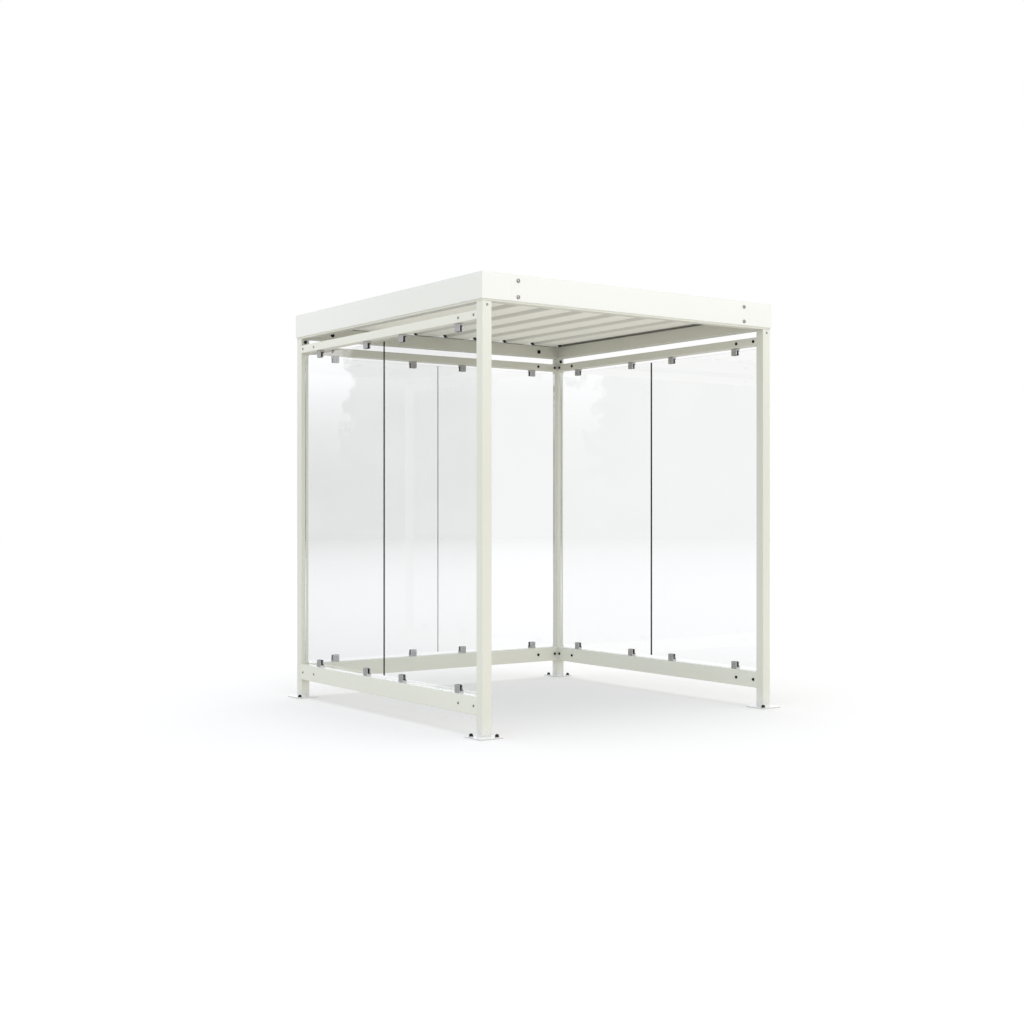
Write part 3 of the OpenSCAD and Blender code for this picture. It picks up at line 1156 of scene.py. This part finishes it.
@dataclass
class PostFoot:
    """One post with its base plate, weld bead, two anchor bolts and the screw at its head."""

    corner: Corner
    bolt_offset: float = 50 * MM
    washer: DomeCap = DomeCap(28 * MM, 2 * MM, skirt=0.9)
    washer_sink: float = 0.9
    cap: DomeCap = DomeCap(22 * MM, 15 * MM, skirt=0.35, flange=1.04)
    head_screw: PanHead = PanHead()
    head_cap: DomeCap = DomeCap(22 * MM, 8 * MM)
    head_drop: float = 21 * MM
    bead: float = 5 * MM
    bead_hollow: float = 0.86
    bead_low: float = 0.9
    bead_root: float = 0.5 * MM
    bead_parts: int = 11
    long_side: float = 10 * MM
    ripple: Span = (0.07, 2.1)
    post_radius: float = 4 * MM

    def build(self) -> None:
        """Dresses the post and plate and adds bead, bolts and head screw."""
        label = self.corner.label
        FRAME_COAT.dress(f"post_{label}")
        PLATE_COAT.dress(f"base_plate_{label}")
        self.anchors()
        self.weld()
        self.head_fasteners()
        LOG.info("post %s: plate, weld bead, anchor bolts and head screw", label)

    def anchors(self) -> None:
        """Adds a washer and a black cap over each of the two anchor holes."""
        label, across = self.corner.label, self.corner.value[0] * self.corner.value[1]
        feet = face_middle(*node_box(f"base_plate_{label}"), UP)
        feet = feet + np.array([[1, -across, 0], [-1, across, 0]]) * self.bolt_offset
        name = f"anchor_washers_{label}"
        self.washer.fasten(name, "clamp_metal", SCREW_METAL, feet, UP, Seed.ANCHOR_WASHERS)
        feet[:, 2] += self.washer.height * self.washer_sink
        self.cap.fasten(f"anchor_caps_{label}", "clamp_rubber", CAP_PLASTIC, feet, UP, Seed.ANCHOR_CAPS)

    def weld(self) -> None:
        """Adds the fillet bead round the post's foot.

        The section is a quarter round whose legs swell and shrink a little along the bead, as a
        hand weld's ripples do.
        """
        low, high = node_box(f"post_{self.corner.label}")
        plate_top = node_box(f"base_plate_{self.corner.label}")[1][2]
        half = (high - low)[:2] / 2
        loop, out = rounded_loop(float(half[0]), float(half[1]), self.post_radius, 5)
        loop, out = divided(loop, out, self.bead_parts, self.long_side)
        level = np.zeros(len(loop))
        path = np.column_stack([loop, level]) + np.array([*((low + high)[:2] / 2), plate_top])
        depth, pace = self.ripple
        ripple = 1 + depth * np.sin(np.arange(len(loop)) * pace)[:, None]
        t = np.linspace(0, math.pi / 2, 5)
        outer = self.bead * (1 - self.bead_hollow * np.sin(t))
        upper = self.bead * (1 - self.bead_hollow * np.cos(t)) * self.bead_low
        upper[0] = 0.0
        u = np.concatenate([[-self.bead_root], outer, [-self.bead_root]])
        v = np.concatenate([[0.0], upper, [self.bead]])
        bead = ring_sweep(path, np.column_stack([out, level]), np.stack([u * ripple, v * ripple], -1))
        bead.piece(f"foot_weld_{self.corner.label}", "frame_paint", FRAME_COAT, crease=60)

    def head_fasteners(self) -> None:
        """Adds the screw at the post's head: a bright head outside and a black cap inside."""
        label = self.corner.label
        low, high = node_box(f"post_{label}")
        out = np.array([0, float(self.corner.value[1]), 0])
        outer, inner = face_middle(low, high, out), face_middle(low, high, -out)
        outer[2] = inner[2] = high[2] - self.head_drop
        name = f"head_screw_{label}"
        self.head_screw.fasten(name, "frame_paint", SCREW_METAL, [outer], out, Seed.HEAD_SCREWS)
        self.head_cap.fasten(f"head_cap_{label}", "clamp_rubber", BLACK_BOLT, [inner], -out, Seed.HEAD_CAPS)


@dataclass
class Roof:
    """The roof: beams, ribbed sheet, fascia, their screws and black strips of painted shade at the sheet's
    joint with the beams.
    """

    panel_screw_x: float = 850 * MM
    panel_screw_z: Span = (23 * MM, 112 * MM)
    panel_screw: PanHead = PanHead(22 * MM, 7 * MM, socket=10 * MM, depth=4 * MM)
    beam_bolt: DomeCap = DomeCap(28 * MM, 10 * MM)
    beam_bolt_z: float = 39 * MM
    sheet_screw: HexHead = HexHead()
    sheet_gauge: float = 1 * MM
    ribs: int = 9
    rib_span: float = 2000 * MM
    rib_foot: float = 106 * MM
    # Black strips of painted shade at the sheet's joint with the beams: depth and height, how far short of
    # the ribs they stop and how far they stand proud.
    shade_strip: Span = (5 * MM, 3 * MM)
    seal_short: float = 1 * MM
    seal_proud: float = 1 * MM

    def __post_init__(self) -> None:
        """Works out the ribs' pitch and where the troughs' middles lie, midway between the ribs."""
        self.pitch = self.rib_span / (self.ribs - 1)
        self.troughs = (np.arange(self.ribs - 1) - (self.ribs - 2) / 2) * self.pitch

    def build(self) -> None:
        """Dresses the roof's nodes and adds its screws, bolts and the black strips of painted shade."""
        sides = ("front", "rear", "left", "right")
        FRAME_COAT.dress("roof_spigots", *(f"roof_beam_{side}" for side in sides))
        SHEET_COAT.dress("roof_sheet")
        FASCIA_COAT.dress(*(f"fascia_{side}" for side in sides))
        for side in Side:
            self.panel_fasteners(side)
        self.sheet_fasteners()
        self.shade_strips()
        LOG.info("roof: beams, sheet, fascia, screws and seals")

    def panel_fasteners(self, side: Side) -> None:
        """Adds the fascia screws and the bolts on the beam's inner face at one side.

        Args:
            side: The front or the rear.
        """
        label, out = side.label, np.array([0, float(side.value), 0])
        xs = (-self.panel_screw_x, self.panel_screw_x)
        low, high = node_box(f"fascia_{label}")
        face = face_middle(low, high, out)[1]
        places = [(x, face, low[2] + z) for x in xs for z in self.panel_screw_z]
        name, seed = f"fascia_screws_{label}", Seed.FASCIA_SCREWS + side.value
        self.panel_screw.fasten(name, "fascia_paint", SCREW_METAL, places, out, seed)
        low, high = node_box(f"roof_beam_{label}")
        face = face_middle(low, high, -out)[1]
        places = [(x, face, low[2] + self.beam_bolt_z) for x in xs]
        name, seed = f"beam_bolts_{label}", Seed.BEAM_BOLTS + side.value
        self.beam_bolt.fasten(name, "clamp_rubber", BLACK_BOLT, places, -out, seed)

    def sheet_fasteners(self) -> None:
        """Adds the sheet's screws in its troughs, in line over the front and rear beams.

        A row stands midway between the beam's inner face and its outer face or the sheet's edge,
        whichever comes first.
        """
        low, high = node_box("roof_sheet")
        places = []
        for side in Side:
            beam_low, beam_high = node_box(f"roof_beam_{side.label}")
            row = (max(low[1], beam_low[1]) + min(high[1], beam_high[1])) / 2
            places += [(x, row, low[2] + self.sheet_gauge) for x in self.troughs]
        self.sheet_screw.fasten("sheet_screws", "sheet_paint", SCREW_METAL, places, UP, Seed.SHEET_SCREWS)

    def shade_strips(self) -> None:
        """Adds black strips between beam and sheet, one to each trough, as painted shade for the joint's dark
        line.

        A strip is a rounded bar along X under the sheet, in the groove over the beam's inner edge.
        It stops short of the ribs and stands a little proud of the beam.
        """
        low, _ = node_box("roof_sheet")
        reach = (self.pitch - self.rib_foot) / 2 - self.seal_short
        depth, height = self.shade_strip
        loop, _ = rounded_loop(height / 2, depth / 2, height / 3, 3)
        turn = np.array([[0, 0, 1.0], [0, 1.0, 0], [-1.0, 0, 0]])
        frames = []
        for side in Side:
            beam_low, beam_high = node_box(f"roof_beam_{side.label}")
            face = beam_low[1] if side is Side.REAR else beam_high[1]
            middle, level = face + side.value * (depth / 2 - self.seal_proud), low[2] - height / 2
            frames += [np.column_stack([turn, [x, middle, level]]) for x in self.troughs]
        strips = bar(loop, -reach, reach).placed(np.array(frames))
        strips.piece("sheet_shade_strips", "clamp_rubber", CLAMP_RUBBER)


# ---------------------------------------------------------------- studio


@dataclass
class Studio:
    """Floor, soft light and camera. Heights and turns of the surroundings are in degrees."""

    floor_half: float = 60.0
    sky: float = 1.09
    front_glow: float = 0.2
    zenith_dim: float = 0.35
    warm: Colour = (0.995, 0.985, 0.965)
    cool: Colour = (0.92, 0.97, 1.09)
    hue_turn: Span = (-0.8, 0.3)
    overhead: float = 0.55
    overhead_spread: float = 40.0
    screen_tones: Span = (0.05, 0.25)
    screen_ahead: float = 6.0
    screens_aside: Span = (13.0, 2.4)
    screen_edge: Span = (-1.5, 2.5)
    screen_scale: float = 0.35
    screen_span: Span = (0.35, 0.7)
    dip_turn: float = -28.0
    dip_every: float = 10.0
    dip_span: Span = (0.5, 0.9)
    ragged_scale: float = 0.9
    raggedness: float = 1.6
    opening_left: Span = (-29.6, -28.4)
    opening_right: Span = (80.0, 90.0)
    ahead: Span = (0.0, -0.3)
    sky_aside: Colour = (0.66, 0.67, 0.71)
    sky_ahead: Colour = (0.9, 0.92, 1.0)
    glow_rise: Span = (3.0, 8.0)
    glow_fall: Span = (13.0, 22.0)
    glow_aside: float = 1.5
    glow_ahead: float = 4.0
    camera_at: tuple[float, float, float] = (-5.3868, -7.3953, 1.2133)
    camera_turn: float = 35.47
    lens: float = 50.379
    sensor: float = 36.0
    farthest: float = 200.0

    def build(self) -> None:
        """Sets up floor, world, lamp, camera and the plain view transform."""
        self.floor()
        self.world()
        self.lamp()
        self.camera()
        scene = bpy.context.scene
        scene.view_settings.view_transform = "Standard"
        scene.cycles.diffuse_bounces = 1
        LOG.info("studio: floor, light and camera")

    def floor(self) -> None:
        """Lays the floor: a level square at height 0."""
        s = self.floor_half
        mesh = bpy.data.meshes.new("floor")
        mesh.from_pydata([(-s, -s, 0), (s, -s, 0), (s, s, 0), (-s, s, 0)], [], [(0, 1, 2, 3)])
        mesh.materials.append(StudioFloor("studio_floor").material())
        floor = bpy.data.objects.new("floor", mesh)
        bpy.context.scene.collection.objects.link(floor)

    def world(self) -> None:
        """Builds the surroundings: white where seen straight or through glass, a soft sky for light.

        The light from direction d is sky + front_glow * max(0, -d.y) - zenith_dim * max(0, d.z).
        A mirrored ray meets what surroundings() gives.
        """
        world = bpy.data.worlds.new("studio")
        bpy.context.scene.world = world
        world.use_nodes = True
        board = Board(world.node_tree)
        axes = board.parts(board.add("TexCoord").outputs["Generated"])
        ahead = board.math("MAXIMUM", board.times(axes[1], -self.front_glow), 0.0)
        above = board.math("MAXIMUM", board.times(axes[2], self.zenith_dim), 0.0)
        level = board.math("ADD", board.math("SUBTRACT", ahead, above), self.sky)
        leftward = board.span(axes[0], self.hue_turn, FALLING)
        hue = board.blend(leftward, solid(self.warm), solid(self.cool))
        light = board.add("Background", {"Color": hue, "Strength": level})
        plain = board.add("Background", {"Color": solid((1, 1, 1)), "Strength": 1.0})
        paths = board.add("LightPath").outputs
        mirrored = board.math("SUBTRACT", paths["Glossy Depth"], paths["Is Diffuse Ray"], clamp=True)
        beyond = board.math("MAXIMUM", paths["Is Transmission Ray"], paths["Is Glossy Ray"])
        through = board.math("SUBTRACT", beyond, mirrored, clamp=True)
        seen = board.math("MAXIMUM", paths["Is Camera Ray"], through)
        mirror = board.add("MixShader", {0: mirrored, 1: light.outputs[0], 2: self.surroundings(board, axes)})
        mix = board.add("MixShader", {0: seen, 1: mirror.outputs[0], 2: plain.outputs[0]})
        board.add("OutputWorld", {"Surface": mix.outputs[0]})

    def surroundings(self, board: Board, axes: Sockets) -> bpy.types.NodeSocket:
        """Builds what glass and gloss mirror: dim screens below a pale sky with a low glow.

        The screens' uneven upper edge stands at about 6 degrees in front and between 2 and 13
        degrees elsewhere, with a dip every 10 degrees of turn and open sky from 28 degrees left
        of the rear to 80 degrees right of it. The glow lies between 4 and 20 degrees of height
        and is strongest in front.

        Args:
            board: The world's board.
            axes: The direction's X, Y and Z.

        Returns:
            The background shader's output.
        """
        turn = board.times(board.math("ARCTAN2", axes[0], axes[1]), math.degrees(1))
        height = board.times(board.math("ARCSINE", axes[2]), math.degrees(1))
        spot = board.add("CombineXYZ", {0: turn, 1: height}).outputs[0]
        ahead = board.span(axes[1], self.ahead)
        pace = 2 * math.pi / self.dip_every
        swing = board.math("COSINE", board.times(board.math("SUBTRACT", turn, self.dip_turn), pace))
        uneven = board.varied(swing, board.noise(spot, self.ragged_scale, 4.0, 0.6), self.raggedness)
        left, right = board.span(turn, self.opening_left), board.span(turn, self.opening_right, FALLING)
        clear = board.math("MAXIMUM", uneven, board.times(left, right))
        aside = board.span(clear, self.dip_span, self.screens_aside)
        change = board.times(board.math("SUBTRACT", self.screen_ahead, aside), ahead)
        edge = board.math("ADD", change, aside)
        above = board.span(board.math("SUBTRACT", height, edge), self.screen_edge)
        dim = board.span(board.noise(spot, self.screen_scale, 2.0), self.screen_span, self.screen_tones)
        pale = board.blend(ahead, solid(self.sky_aside), solid(self.sky_ahead))
        strength = board.span(ahead, RISING, (self.glow_aside, self.glow_ahead))
        rise, fall = board.span(height, self.glow_rise), board.span(height, self.glow_fall, FALLING)
        power = board.math("ADD", board.times(rise, fall, strength), 1.0)
        sky = board.add("VectorMath", {0: pale, "Scale": power}, operation="SCALE").outputs[0]
        screens = board.add("CombineColor", {0: dim, 1: dim, 2: dim}).outputs[0]
        colour = board.blend(above, screens, sky)
        return board.add("Background", {"Color": colour, "Strength": 1.0}).outputs[0]

    def lamp(self) -> None:
        """Hangs one broad soft light straight overhead."""
        light = bpy.data.lights.new("overhead", "SUN")
        light.energy = self.overhead
        light.angle = math.radians(self.overhead_spread)
        bpy.context.scene.collection.objects.link(bpy.data.objects.new("overhead", light))

    def camera(self) -> None:
        """Sets the level camera, turned from +Y towards +X."""
        data = bpy.data.cameras.new("camera")
        data.lens, data.sensor_width = self.lens, self.sensor
        data.clip_end = self.farthest
        camera = bpy.data.objects.new("camera", data)
        camera.location = self.camera_at
        camera.rotation_euler = (math.pi / 2, 0, -math.radians(self.camera_turn))
        bpy.context.scene.collection.objects.link(camera)
        bpy.context.scene.camera = camera


def main() -> None:
    """Builds every sub-assembly in order."""
    logging.basicConfig(level=logging.INFO, format="%(message)s")
    Studio().build()
    for corner in Corner:
        PostFoot(corner).build()
    for wall in Wall:
        GlazedWall(wall).build()
    Roof().build()


if __name__ == "__main__":
    main()
